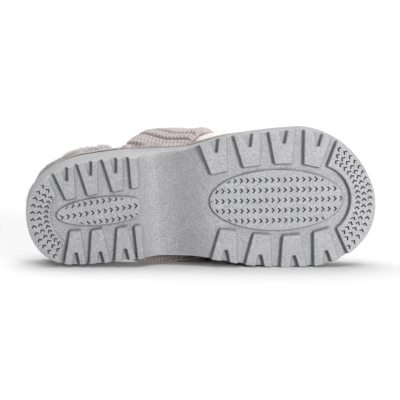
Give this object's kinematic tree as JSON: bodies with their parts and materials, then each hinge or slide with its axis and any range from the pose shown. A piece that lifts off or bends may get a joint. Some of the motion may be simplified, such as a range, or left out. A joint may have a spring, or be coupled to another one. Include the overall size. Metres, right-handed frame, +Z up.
{
  "type": "slipper",
  "caption": "Clog-style mule slipper with a plush vamp, a knitted cuff round the throat and a thick lugged foam sole, lying on its side.",
  "frame": {"origin": "centre of the bounding box, at floor level", "axes": "+X towards the toe, +Z up from the floor the shoe lies on; the tread faces -Y, turned about four degrees down"},
  "size_m": [0.2686, 0.1016, 0.1069],
  "materials": {
    "sole": "matte moulded foam with a fine grain, light grey",
    "footbed": "short plush over a foam pad, pale pinkish grey",
    "upper": "short smooth plush, pale pinkish white",
    "cuff": "chunky ribbed knit, warm light grey",
    "heel_collar": "fluffy pile, light grey with a pinkish tint"
  },
  "bodies": {
    "root": {"sole": "sole", "footbed": "footbed", "upper": "upper", "cuff": "cuff", "heel_collar": "heel_collar"}
  },
  "joints": []
}
